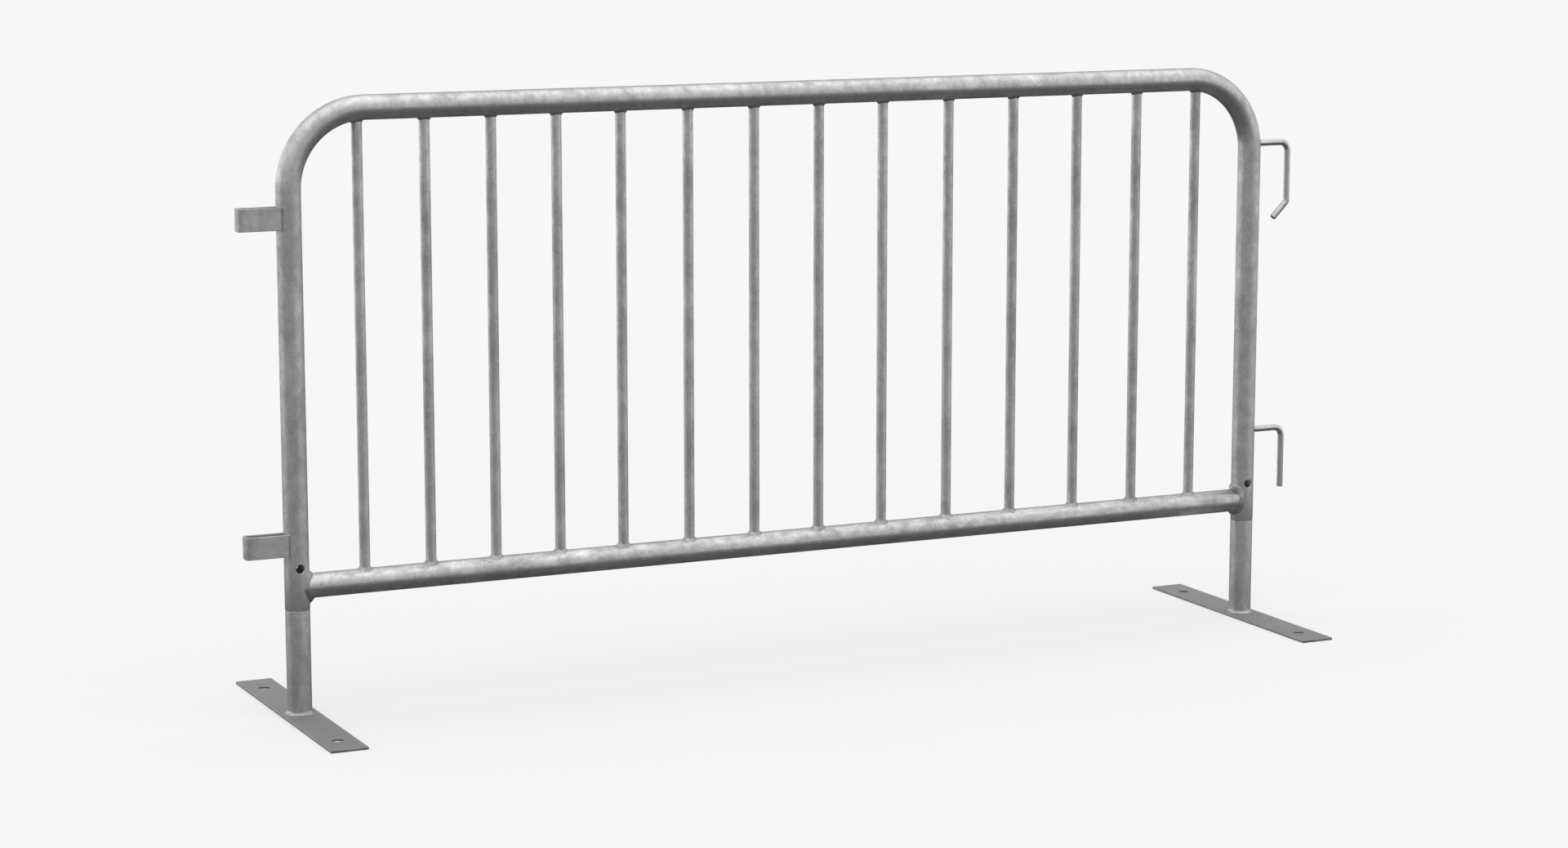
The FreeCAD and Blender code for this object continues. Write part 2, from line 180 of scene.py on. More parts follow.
def zinc(name, shade, clouds=0.5, drain=(1.0, 1.0, 1.0), rough=0.42, lumps=0.3):
    """Galvanised steel. drain under 1 stretches the clouds along that axis; lumps is the bump's strength."""
    finish = Finish(bpy.data.materials.new(name))
    own = finish.node("ShaderNodeTexCoord", output="Object")
    drained = finish.node("ShaderNodeMapping", {"vector_type": "POINT"}, {"Vector": own, "Scale": drain})
    cloud = finish.spread(finish.noise(drained, CLOUD, 4, 0.6), 0.3, 0.7)
    mottle = finish.spread(finish.noise(drained, MOTTLE, 5, 0.68), 0.32, 0.68)
    sponge = finish.spread(finish.noise(own, SPONGE, 4, 0.75), 0.25, 0.75)
    tide = finish.spread(finish.noise(own, TIDE, 8, 0.7), 0.53, 0.54)
    dark_spot = finish.spread(finish.noise(own, SPOT, 3, 0.6), 0.64, 0.72)
    tone = CLOUD_DEPTH * clouds * (cloud - 0.5) + MOTTLE_DEPTH * clouds * (mottle - 0.5)
    tone = tone + SPONGE_DEPTH * clouds * (sponge - 0.5) + TIDE_DEPTH * clouds * (tide - 0.5)
    tone = 1 + tone - SPOT_DEPTH * dark_spot
    grey = shade * tone
    colour = finish.node("ShaderNodeCombineColor", {"mode": "RGB"},
                         {"Red": grey, "Green": grey * 1.004, "Blue": grey * 1.008})
    dull = finish.clamp(rough + 0.10 * (0.5 - cloud) + 0.12 * (0.5 - mottle) + 0.08 * dark_spot)
    skin = finish.node("ShaderNodeBump", {}, {"Strength": lumps, "Distance": SKIN_DEPTH,
                                              "Height": mottle * 0.7 + sponge * 0.3})
    shader = finish.node("ShaderNodeBsdfPrincipled", {}, {"Base Color": colour, "Metallic": METALLIC,
                                                          "Roughness": dull, "Normal": skin})
    finish.node("ShaderNodeOutputMaterial", {}, {"Surface": shader})
    return finish.owner


TUBE_ZINC = zinc("galvanised_tube", 0.59, 0.5, (1, 1, 0.7))
LEG_ZINC = zinc("galvanised_leg", 0.5, 0.5, (1, 1, 0.7))
RAIL_ZINC = zinc("galvanised_rail", 0.57, 0.65, (0.7, 1, 1))
BAR_ZINC = zinc("galvanised_bar", 0.61, 0.6, (1, 1, 0.5))
ROD_ZINC = zinc("galvanised_rod", 0.6, 0.28, rough=0.28, lumps=0.03)
FLAT_ZINC = zinc("galvanised_flat", 0.56, 0.42, rough=0.5)
PLATE_ZINC = zinc("galvanised_plate", 0.38, 0.28, rough=0.55)
WELD_ZINC = zinc("weld_metal", 0.4, 0.4, rough=0.46, lumps=0.5)
FILLET_ZINC = zinc("smooth_weld", 0.46, 0.3, rough=0.36, lumps=0.2)
print("finishes:", ", ".join(material.name for material in bpy.data.materials))


# %% [markdown]
# ## A finished piece
# Each finished piece is a plain mesh at the origin, shaded smooth, that rides on a body and wears its
# finish, and the nodes of the design that it stands for are hidden. One helper does all of that. The others
# make an object from points and faces, point its faces outwards, and turn modifiers into plain mesh.

# %% Finish a piece
def new_object(name, points, faces):
    mesh = bpy.data.meshes.new(name)
    mesh.from_pydata([tuple(point) for point in points], [], faces)
    mesh.validate()
    made = bpy.data.objects.new(name, mesh)
    bpy.context.scene.collection.objects.link(made)
    return made


def face_outwards(mesh):
    shell = bmesh.new()
    shell.from_mesh(mesh)
    bmesh.ops.recalc_face_normals(shell, faces=shell.faces)
    shell.to_mesh(mesh)
    shell.free()


def plain_mesh(made):
    """Turn what the modifiers make into the object's own mesh, and take the modifiers off."""
    bpy.context.view_layer.update()
    seen = made.evaluated_get(bpy.context.evaluated_depsgraph_get())
    result = bpy.data.meshes.new_from_object(seen)
    made.modifiers.clear()
    made.data = result
    return made


def finish_piece(made, body, material, nodes, crease=None):
    """Shade, paint and hang a piece on its body. crease is the angle from which an edge stays sharp."""
    made.data.shade_smooth()
    if crease:
        made.data.set_sharp_from_angle(angle=math.radians(crease))
    made.data.materials.clear()
    made.data.materials.append(material)
    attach(made, body)
    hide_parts(*nodes)
    triangles = sum(len(face.vertices) - 2 for face in made.data.polygons)
    print(f"{made.name:20} {triangles:7} triangles on {body}, for {len(nodes)} nodes")
    return made


# %% [markdown]
# ## Paths with round bends
# Tubes, hooks and strap loops are all straight stock that went through a bender. Their centre line is
# a few corner points with a bend at each inner one. The path is measured by its length, so that
# `at(0.5)` gives the point and the direction half a metre along.

# %% Describe a bent centre line
class BentPath:
    def __init__(self, corners, bends):
        self.parts, self.length = [], 0.0
        start = corners[0]
        for before, corner, after, bend in zip(corners, corners[1:], corners[2:], bends):
            come, go = (corner - before).normalized(), (after - corner).normalized()
            turn = come.angle(go)
            trim = bend * math.tan(turn / 2)
            self._straight(start, corner - come * trim)
            axis = come.cross(go).normalized()
            self._arc(corner - come * trim, come, axis, bend, turn)
            start = corner + go * trim
        self._straight(start, corners[-1])

    def _straight(self, start, end):
        run = end - start
        self.parts.append((self.length, run.length, lambda s: (start + run.normalized() * s,
                                                               run.normalized())))
        self.length += run.length

    def _arc(self, start, come, axis, bend, turn):
        inward = axis.cross(come)
        centre = start + inward * bend

        def point(s):
            swing = Matrix.Rotation(s / bend, 3, axis)
            return centre - swing @ inward * bend, swing @ come
        self.parts.append((self.length, bend * turn, point))
        self.length += bend * turn

    def at(self, s):
        for start, run, point in self.parts:
            if s <= start + run + 1e-9:
                return point(min(max(s - start, 0), run))
        return point(run)

    def stations(self, coarse, fine):
        """Places along the path: far apart on the straights, and close in the bends."""
        places = {0.0, self.length}
        for number, (start, run, _) in enumerate(self.parts):
            steps = max(1, math.ceil(run / (fine if number % 2 else coarse)))
            places |= {start + run * step / steps for step in range(steps + 1)}
        return sorted(places)


frame_path = BentPath([Vector((LEFT, 0, SEAM)), Vector((LEFT, 0, TOP)),
                       Vector((RIGHT, 0, TOP)), Vector((RIGHT, 0, SEAM))], [BEND, BEND])
print(f"the frame's tube is {frame_path.length:.3f} m long before bending")


# %% [markdown]
# ## A tube with both its walls
# The tube's skin is a grid of rings. It runs up the outside, turns over a small round at the end, and
# comes back down the bore, so the shell is closed and has a true wall. These two helpers place a point
# on a ring, and list the rings that lead round an end.

# %% Place the rings
SIDES = 64
END_STEPS = 3


def ring_point(path, s, radius, side):
    """A point on the ring at s. Side 0 is in the path's own plane, and a quarter round faces +Y."""
    centre, along = path.at(s)
    across = Vector((0, 1, 0))
    outward = along.cross(across)
    angle = 2 * math.pi * side / SIDES
    return centre + (outward * math.cos(angle) + across * math.sin(angle)) * radius


def soft_end(s, inward, outer, inner, edge):
    """Rows that lead round a tube's end: (place, radius) from the outer skin to the bore."""
    turn = [math.pi / 2 * step / END_STEPS for step in range(END_STEPS + 1)]
    rows = [(s + inward * edge * (1 - math.sin(a)), outer - edge * (1 - math.cos(a))) for a in turn]
    return rows + [(place, outer + inner - radius) for place, radius in reversed(rows)]


print(f"{SIDES} sides keep a flat side of the frame's tube to {2 * math.pi * TUBE / SIDES / MM:.1f} mm")


# %% [markdown]
# ## A drilled hole
# A drilled hole takes a square patch of the grid away on each skin. Rings of points lead from the
# patch's edge to the round rim, and the rim's edge is softened before the hole's wall goes through. It
# is more work than a boolean, but the rim stays even and takes the light cleanly.

# %% Drill one skin
PATCH = 6                    # rings and columns from the middle of a patch to its edge
PATCH_MARGIN = 3 * MM        # from the hole's rim to the patch's edge along the tube
PATCH_CLEAR = 2 * MM         # no other ring stands nearer to a patch than this
RIM = 0.7 * MM               # round on the hole's edge
LEAD_IN = (0.45, 0.8)        # where the rings between the patch's edge and the rim stand
ROLL = (0.0, math.pi / 6, math.pi / 3, math.pi / 2)


def drill(path, place, side, radius, skin, span, points, faces, gone, sign):
    """Open a round hole in one skin. Returns the loop of points where its wall begins."""
    first, last = side - PATCH, side + PATCH
    around = [(row, first) for row in span]
    around += [(span[-1], column) for column in range(first + 1, last + 1)]
    around += [(row, last) for row in reversed(span[:-1])]
    around += [(span[0], column) for column in range(last - 1, first, -1)]
    for row, after in zip(span, span[1:]):
        gone |= {(min(row, after), column % SIDES) for column in range(first, last)}
    loop = [row * SIDES + column % SIDES for row, column in around]
    centre, along = path.at(place)
    across = Vector((0, 1 if side < SIDES / 2 else -1, 0))
    beside = along.cross(across)
    flat = [((points[i] - centre).dot(beside), (points[i] - centre).dot(along)) for i in loop]
    for lead, roll in [(lead, 0.0) for lead in LEAD_IN] + [(1, roll) for roll in ROLL]:
        ring = []
        for u, v in flat:
            angle = math.atan2(v, u)
            reach = radius + RIM * (1 - math.sin(roll))
            if lead < 1:
                reach = (1 - lead) * math.hypot(u, v) + lead * reach
            x, z = reach * math.cos(angle), reach * math.sin(angle)
            depth = math.sqrt(skin ** 2 - x ** 2) - sign * RIM * (1 - math.cos(roll))
            ring.append(len(points))
            points.append(centre + beside * x + along * z + across * depth)
        faces += [(a, b, d, c) for a, b, c, d in zip(loop, loop[1:] + loop[:1],
                                                     ring, ring[1:] + ring[:1])]
        loop = ring
    return loop


print(f"a hole's rim has {8 * PATCH} points")


# %% [markdown]
# Now the whole shell: rows of rings, with extra rows where a hole is drilled, then the holes, and then
# the faces of the grid that no hole has taken.

# %% Build tubes ring by ring
def tube_shell(name, path, places, outer, inner, edge=0.4 * MM, holes=()):
    """holes are (place along the path, side that it is drilled at, radius)."""
    rows_of_hole = {}
    for place, _, radius in holes:
        rows_of_hole[place] = [place + (step - PATCH) * (radius + PATCH_MARGIN) / PATCH
                               for step in range(2 * PATCH + 1)]
    taken = list(rows_of_hole.values())
    places = [s for s in places if edge < s < path.length - edge
              and not any(span[0] - PATCH_CLEAR < s < span[-1] + PATCH_CLEAR for span in taken)]
    places = sorted(places + [s for span in taken for s in span])
    rows = [(s, outer) for s in places] + soft_end(path.length, -1, outer, inner, edge)
    rows += [(s, inner) for s in reversed(places)]
    rows += reversed(soft_end(0, 1, outer, inner, edge))
    points = [ring_point(path, s, radius, side) for s, radius in rows for side in range(SIDES)]
    faces, gone = [], set()
    index = {(round(s, 7), radius): row for row, (s, radius) in enumerate(rows)}
    for place, side, radius in holes:
        rims = []
        for skin, sign in ((outer, 1), (inner, -1)):
            span = [index[round(s, 7), skin] for s in rows_of_hole[place]]
            rims.append(drill(path, place, side, radius, skin, span, points, faces, gone, sign))
        faces += [(a, b, d, c) for a, b, c, d in zip(rims[0], rims[0][1:] + rims[0][:1],
                                                     rims[1], rims[1][1:] + rims[1][:1])]
    for row in range(len(rows)):
        for side in range(SIDES):
            if (row, side) not in gone:
                after, beside = (row + 1) % len(rows), (side + 1) % SIDES
                faces.append((row * SIDES + side, row * SIDES + beside,
                              after * SIDES + beside, after * SIDES + side))
    made = new_object(name, points, faces)
    face_outwards(made.data)
    return made


print("tube_shell is ready for the frame, the rail and the spigots")


# %% [markdown]
# ## The frame
# The frame is one tube bent to an inverted U, with a hole for a locking pin low down in each upright.
# The design keeps it as three nodes, but the real one has no joint there, so one mesh stands for all
# three and the zinc runs over it without a break.

# %% Bend the frame's tube
TUBE_EDGE = 0.95 * MM                        # round on the upright's foot, above the seam
front, back = 3 * SIDES // 4, SIDES // 4     # the two sides that a pin goes through
pin_place = PIN_HEIGHT - SEAM
pin_holes = [(place, side, PIN_HOLE) for place in (pin_place, frame_path.length - pin_place)
             for side in (front, back)]
frame_rings = frame_path.stations(coarse=60 * MM, fine=6 * MM)
frame_tube = tube_shell("frame_tube", frame_path, frame_rings, TUBE, BORE, TUBE_EDGE, pin_holes)
finish_piece(frame_tube, "frame", TUBE_ZINC,
             ["handrail", "left_upright", "right_upright"])

# %% [markdown]
# ## The joint lines of the bottom rail
# The rail and the uprights are tubes of one size, so they meet along two half ellipses, which look like
# a sideways V from the front. A band of weld covers that line. One end was dressed to a clean chamfer,
# and the other was left as it was laid, rounder and wider. Each band is a short table: the height, from
# -1 at the rail's underside to 1 at its top, and how far from the upright's middle the band starts and
# ends there, in millimetres.

# %% Measure the two bands of weld
ROUNDING = (-0.05, 0.0, 0.05)                # heights that are averaged to round off the table
LEFT_BAND = [(-1.0, 22.2, 31.0), (-0.8, 17.3, 26.0), (-0.54, 12.6, 20.6), (-0.25, 8.8, 17.2),
             (-0.07, 6.6, 16.2), (0.28, 9.3, 17.0), (0.6, 13.0, 20.0), (0.8, 17.0, 24.0), (1.0, 22.2, 28.4)]
RIGHT_BAND = [(-1.0, 22.2, 27.4), (-0.85, 17.0, 24.6), (-0.65, 12.0, 22.4), (-0.3, 8.2, 20.2),
              (0.13, 7.2, 18.6), (0.6, 9.3, 18.4), (0.8, 12.3, 19.6), (0.93, 15.0, 22.5), (1.0, 22.2, 32.0)]


def band_edges(band, height):
    """Start and end of a band at a height, averaged over a short stretch."""
    edges = [0.0, 0.0]
    for nudge in ROUNDING:
        high = min(1.0, max(-1.0, height + nudge))
        lower, upper = next(pair for pair in zip(band, band[1:]) if high <= pair[1][0])
        share = (high - lower[0]) / (upper[0] - lower[0])
        for side in (0, 1):
            here = lower[side + 1] + (upper[side + 1] - lower[side + 1]) * share
            edges[side] += here * MM / len(ROUNDING)
    return edges


print("band edges at mid-height:", [f"{edge / MM:.1f} mm" for edge in band_edges(LEFT_BAND, 0.0)])

# %% [markdown]
# ## The bottom rail
# The rail is a plain tube between the uprights' centres whose last rings are moved. The ring at the
# cope stops under the band of weld. The end itself is drawn in a little and follows the upright's
# curve inside its wall, so no hole is left and nothing stands in front of the upright.

# %% Lay the bottom rail
COPE = 30 * MM               # from the upright's centre to the last ring of the straight rail
COVERED = 0.75               # the share of the band that the rail's skin lies under
DRAWN_IN = 2 * MM            # how much smaller in radius the very end is
IN_WALL = 0.8 * MM           # how far it ends under the upright's skin
NEAR = 1 * MM                # a ring this near to a place belongs to it
RAIL_BAYS = 24


def cope_rail(made, length):
    for vertex in made.data.vertices:
        spot = vertex.co
        toward = math.copysign(1, spot.x)
        from_end = length / 2 - abs(spot.x)
        radius = math.hypot(spot.y, spot.z - RAIL)
        if from_end < NEAR:
            reach = math.sqrt(max((TUBE - IN_WALL) ** 2 - spot.y ** 2, 0))
            drawn = (radius - DRAWN_IN) / radius
            vertex.co = (toward * (length / 2 - reach), spot.y * drawn, RAIL + (spot.z - RAIL) * drawn)
        elif from_end < COPE + NEAR:
            band = RIGHT_BAND if toward > 0 else LEFT_BAND
            start, end = band_edges(band, (spot.z - RAIL) / radius)
            spot.x = toward * (length / 2 - start - (end - start) * COVERED)


rail_path = BentPath([Vector((LEFT, 0, RAIL)), Vector((RIGHT, 0, RAIL))], [])
rail_places = [rail_path.length * step / RAIL_BAYS for step in range(1, RAIL_BAYS)]
rail_places = [COPE] + rail_places + [rail_path.length - COPE]
bottom_rail = tube_shell("bottom_rail_tube", rail_path, rail_places, TUBE, BORE)
cope_rail(bottom_rail, rail_path.length)
finish_piece(bottom_rail, "frame", RAIL_ZINC, ["bottom_rail"])


# %% [markdown]
# ## Geometry Nodes from Python
# Bars and beads repeat, so node trees make them. This helper holds a tree: `ask` adds a named input
# with its default, `node` adds a node in the same way as for the shaders, and `run` puts the tree on an
# object, sets its inputs by their identifiers and turns the result into a plain mesh.

# %% Write a node tree as a recipe
class Recipe:
    def __init__(self, name):
        self.tree = bpy.data.node_groups.new(name, "GeometryNodeTree")
        self.tree.interface.new_socket("Geometry", in_out="INPUT", socket_type="NodeSocketGeometry")
        self.tree.interface.new_socket("Geometry", in_out="OUTPUT", socket_type="NodeSocketGeometry")
        self.given = self.tree.nodes.new("NodeGroupInput")
        self.identifiers = {}

    def ask(self, name, kind, default=None):
        socket = self.tree.interface.new_socket(name, in_out="INPUT", socket_type="NodeSocket" + kind)
        if default is not None:
            socket.default_value = default
        self.identifiers[name] = socket.identifier
        return self.given.outputs[name]

    def node(self, kind, settings=None, inputs=None, output=0):
        made = self.tree.nodes.new(kind)
        for name, setting in (settings or {}).items():
            setattr(made, name, setting)
        for name, value in (inputs or {}).items():
            if isinstance(value, bpy.types.NodeSocket):
                self.tree.links.new(value, made.inputs[name])
            else:
                made.inputs[name].default_value = value
        return made.outputs[output]

    def serve(self, geometry, material):
        """End the tree: real geometry with its finish."""
        real = self.node("GeometryNodeRealizeInstances", {}, {"Geometry": geometry})
        painted = self.node("GeometryNodeSetMaterial", {}, {"Geometry": real, "Material": material})
        self.tree.links.new(painted, self.tree.nodes.new("NodeGroupOutput").inputs["Geometry"])

    def run(self, made, **values):
        modifier = made.modifiers.new(self.tree.name, "NODES")
        modifier.node_group = self.tree
        for name, value in values.items():
            modifier[self.identifiers[name.replace("_", " ")]] = value
        return plain_mesh(made)


def points_object(name, places, **attributes):
    """A mesh of loose points, with a vector of its own for each under each attribute's name."""
    made = new_object(name, places, [])
    for attribute, vectors in attributes.items():
        layer = made.data.attributes.new(attribute, "FLOAT_VECTOR", "POINT")
        layer.data.foreach_set("vector", [number for vector in vectors for number in vector])
    return made


print("a recipe holds a tree, and points_object makes the points that it works on")


# %% [markdown]
# ## Upright bars
# Fourteen lengths of the same tube stand between the rail and the handrail. A point marks the foot of
# each, and carries the bar's length as a stretch. The tree stands one bar a metre long on each point and
# stretches it, so a change of spacing or of height is only a change of the points.

# %% Stand the bars up
BAR_SIDES = 48
bars = Recipe("upright bars")
bar_radius = bars.ask("Bar Radius", "Float", BAR)
one_bar = bars.node("GeometryNodeMeshCylinder", {"fill_type": "NGON"},
                    {"Vertices": BAR_SIDES, "Side Segments": 1, "Radius": bar_radius, "Depth": 1.0})
stood = bars.node("GeometryNodeTransform", {}, {"Geometry": one_bar, "Translation": (0, 0, 0.5)})
stretch = bars.node("GeometryNodeInputNamedAttribute", {"data_type": "FLOAT_VECTOR"}, {"Name": "stretch"})
placed = bars.node("GeometryNodeInstanceOnPoints", {},
                   {"Points": bars.given.outputs["Geometry"], "Instance": stood, "Scale": stretch})
bars.serve(placed, BAR_ZINC)

bar_feet = [Vector((middle(bar).x, 0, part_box(bar)[0].z)) for bar in BARS]
bar_lengths = [(1, 1, extent(bar).z) for bar in BARS]
upright_bars = points_object("upright_bars", bar_feet, stretch=bar_lengths)
bars.run(upright_bars, Bar_Radius=BAR)
finish_piece(upright_bars, "frame", BAR_ZINC, BARS, crease=40)


# %% [markdown]
# ## Weld beads where a bar meets a tube
# A bead fills the corner between the bar and the tube, all the way round. Because the tube is round,
# the corner rises and falls like a saddle. So one bead is a ring whose section climbs from its toe on
# the tube to its toe on the bar. It is sunk a little into both, so that no gap shows.

# %% Shape one bead
BEAD_SINK = 0.8 * MM


def saddle(tube_radius, across):
    """How far the tube's skin has dropped this far to the side of its highest line."""
    return math.sqrt(tube_radius ** 2 - min(abs(across), tube_radius) ** 2) - tube_radius


def ring_faces(around, section):
    """Faces of a closed ring: sections of this many points each, joined side by side."""
    faces = []
    for number in range(around):
        beside = (number + 1) % around
        for step in range(section):
            after = (step + 1) % section
            faces.append((number * section + step, beside * section + step,
                          beside * section + after, number * section + after))
    return faces


def bead_ring(name, bar_radius, tube_radius, rise, spread, bulge, steps=9, around=72):
    """A bead round a bar along Z, on a tube along X whose skin is at Z = 0 under the bar's middle.

    It climbs the bar by rise and lies on the tube as wide as spread. bulge rounds it, or hollows it
    when it is under 0.
    """
    points = []
    for number in range(around):
        angle = 2 * math.pi * number / around
        turn = Vector((math.cos(angle), math.sin(angle), 0))
        toe_height = saddle(tube_radius, (bar_radius + spread) * turn.y)
        root_height = saddle(tube_radius, bar_radius * turn.y)
        for step in range(steps + 1):
            share = step / steps
            swell = bulge * math.sin(math.pi * share)
            radius = bar_radius + spread * (1 - share) + swell
            height = toe_height + (root_height + rise - toe_height) * share + swell
            points.append(turn * radius + Vector((0, 0, height)))
        sunk = turn * (bar_radius - BEAD_SINK)
        points.append(sunk + Vector((0, 0, root_height + rise)))
        points.append(sunk + Vector((0, 0, toe_height - BEAD_SINK)))
    made = new_object(name, points, ring_faces(around, steps + 3))
    face_outwards(made.data)
    return made


foot_bead = bead_ring("foot_bead", BAR, TUBE, rise=4.6 * MM, spread=4.7 * MM, bulge=-0.3 * MM)
head_bead = bead_ring("head_bead", BAR, TUBE, rise=4.2 * MM, spread=2.8 * MM, bulge=0.1 * MM)
print(f"the tube drops {-saddle(TUBE, BAR) / MM:.1f} mm from the bar's middle to its side")


# %% [markdown]
# The tree copies a bead to each joint, and then pushes its skin in and out with noise. As the noise is
# read where each copy stands, no two beads come out alike. The size and height of the lumps and the
# seed of the noise are inputs, since a neat weld and a rough one differ in little else.

# %% Copy the bead to every joint
LUMP_MIDDLE = 0.48           # the noise's middle value, which neither raises nor sinks the skin
beads = Recipe("weld beads")
bead_shape = beads.ask("Bead", "Object")
lump_size = beads.ask("Lump Size", "Float", 5 * MM)
lump_height = beads.ask("Lump Height", "Float", 1 * MM)
seed = beads.ask("Seed", "Float", 1.0)
shape = beads.node("GeometryNodeObjectInfo", {}, {"Object": bead_shape}, "Geometry")
tilt = beads.node("GeometryNodeInputNamedAttribute", {"data_type": "FLOAT_VECTOR"}, {"Name": "tilt"})
laid = beads.node("GeometryNodeInstanceOnPoints", {},
                  {"Points": beads.given.outputs["Geometry"], "Instance": shape, "Rotation": tilt})
solid = beads.node("GeometryNodeRealizeInstances", {}, {"Geometry": laid})
per_metre = beads.node("ShaderNodeMath", {"operation": "DIVIDE"}, {0: 1.0, 1: lump_size})
lumps = beads.node("ShaderNodeTexNoise", {"noise_dimensions": "4D"},
                   {"Scale": per_metre, "W": seed, "Detail": 2.0, "Roughness": 0.5})
centred = beads.node("ShaderNodeMath", {"operation": "SUBTRACT"}, {0: lumps, 1: LUMP_MIDDLE})
push = beads.node("ShaderNodeMath", {"operation": "MULTIPLY"}, {0: centred, 1: lump_height})
outward = beads.node("GeometryNodeInputNormal")
offset = beads.node("ShaderNodeVectorMath", {"operation": "SCALE"}, {0: outward, "Scale": push})
lumpy = beads.node("GeometryNodeSetPosition", {}, {"Geometry": solid, "Offset": offset})
beads.serve(lumpy, WELD_ZINC)


def weld(name, bead, places, tilts, lump, height, seed_number):
    """Copy one bead to these places, and take the pattern bead away."""
    made = points_object(name, places, tilt=tilts)
    beads.run(made, Bead=bead, Lump_Size=lump, Lump_Height=height, Seed=seed_number)
    bpy.data.objects.remove(bead)
    return made


print(len(beads.tree.nodes), "nodes copy the beads and make them lumpy")


# %% [markdown]
# The bar's foot beads were laid by hand and are lumpy. Those under the handrail are smaller and neater:
# a bead of the same make turned over. Under the two bends the tube's skin slopes, so a bead there leans.

# %% Weld the bars
FOOT_SINK = 0.2 * MM         # how far a bead is set into the tube
HEAD_SINK = 0.4 * MM
foot_places = [Vector((middle(bar).x, 0, RAIL + TUBE - FOOT_SINK)) for bar in BARS]
foot_beads = weld("bar_foot_welds", foot_bead, foot_places, [(0, 0, 0)] * len(BARS),
                  lump=4.5 * MM, height=2.2 * MM, seed_number=3.0)

inner_bend = BEND - TUBE
head_places, head_tilts = [], []
for bar in BARS:
    x = middle(bar).x
    into = max(0.0, abs(x) - (RIGHT - BEND))
    skin = TOP - BEND + math.sqrt(inner_bend ** 2 - into ** 2)
    head_places.append(Vector((x, 0, skin + HEAD_SINK)))
    head_tilts.append((math.pi, math.copysign(math.asin(into / inner_bend), x), 0))
head_beads = weld("bar_head_welds", head_bead, head_places, head_tilts,
                  lump=4 * MM, height=1.3 * MM, seed_number=8.0)


def join_meshes(first, *others):
    """One mesh out of several objects that ride on the same body."""
    together = bmesh.new()
    for made in (first, *others):
        together.from_mesh(made.data)
    together.to_mesh(first.data)
    together.free()
    for made in others:
        bpy.data.objects.remove(made)
    return first


bar_welds = join_meshes(foot_beads, head_beads)
bar_welds.name = "bar_welds"
bar_weld_nodes = [node for node in sorted(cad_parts) if node.startswith("bars_")]
finish_piece(bar_welds, "frame", WELD_ZINC, bar_weld_nodes)


# %% [markdown]
# ## Welds between the rail and the uprights
# Each weld is a ring of sections round the joint. A section goes from the band's start, on the
# upright's skin, to its end on the rail's. Its lift, in millimetres, says how far the metal stands off
# a straight line between the two at each share of the way: a step and a faint ridge where it was
# dressed, and a dome where it was not. Two waves round the joint make the undressed one lumpy.

# %% Lay the bands of weld
BAND_SIDES = 160
BAND_DEPTH = 1.2 * MM        # how far a band's hidden back lies under the line from start to end
LEAN = 0.7                   # how far the metal piles up and outwards at the top and the underside
DRESSED = [(0.0, 0.0), (0.05, 0.5), (0.3, 0.62), (0.55, 0.9), (0.8, 0.62), (0.95, 0.3), (1.0, 0.0)]
AS_LAID = [(0.0, 0.0), (0.06, 0.75), (0.2, 1.35), (0.4, 1.75),
           (0.6, 1.7), (0.8, 1.2), (0.94, 0.6), (1.0, 0.0)]


def waves_round(angle):
    """Five waves with eleven smaller ones on them, for a hand's uneven pace."""
    return (math.sin(5 * angle + 0.7) + 0.6 * math.sin(11 * angle + 2)) / 2


def rail_weld(name, centre, toward, band, legs, lifts, wobble):
    """toward is +1 when the rail lies on the upright's +X side. legs are up and down the upright."""
    points = []
    for number in range(BAND_SIDES):
        angle = 2 * math.pi * number / BAND_SIDES
        high, side = math.cos(angle), math.sin(angle)
        start_x, end_x = band_edges(band, high)
        uneven = wobble * waves_round(angle)
        start_x += uneven * MM * (1 - abs(high))
        leg = legs[0] if high > 0 else legs[1]
        start_y = math.copysign(math.sqrt(TUBE ** 2 - start_x ** 2), side)
        start = Vector((start_x, start_y, (TUBE + leg * (1 + uneven / 6)) * high))
        end = Vector((end_x, TUBE * side, TUBE * high))
        out = (Vector((0, start.y, 0)) / TUBE + Vector((abs(high) * LEAN, 0, high * LEAN))).normalized()
        for share, lift in lifts:
            points.append(start.lerp(end, share) + out * lift * (1 + uneven) * MM)
        points += [end - out * BAND_DEPTH, start - out * BAND_DEPTH]
    faces = ring_faces(BAND_SIDES, len(lifts) + 2)
    place = Matrix.Translation((centre, 0, RAIL)) @ Matrix.Diagonal((toward, 1, 1, 1))
    made = new_object(name, [place @ point for point in points], faces)
    face_outwards(made.data)
    return made


left_weld = rail_weld("left_rail_band", LEFT, 1, LEFT_BAND, legs=(6 * MM, 9 * MM),
                      lifts=DRESSED, wobble=0.1)
finish_piece(left_weld, "frame", WELD_ZINC, ["left_rail_weld"], crease=28)
right_weld = rail_weld("right_rail_band", RIGHT, -1, RIGHT_BAND, legs=(10 * MM, 7.5 * MM),
                       lifts=AS_LAID, wobble=0.45)
finish_piece(right_weld, "frame", WELD_ZINC, ["right_rail_weld"], crease=60)


# %% [markdown]
# ## Hooks
# Each hook is a length of bent round rod. It leaves the upright level and turns down. The upper one has
# a kink at its end, so that the next barrier's loop can't jump off it. A general sweep carries any
# outline along a bent path, and closes both ends with a small chamfer. The strap loops use it too.

# %% Sweep an outline along a path
def circle_outline(radius, sides=40):
    angles = [2 * math.pi * side / sides for side in range(sides)]
    return [(radius * math.cos(angle), radius * math.sin(angle)) for angle in angles]


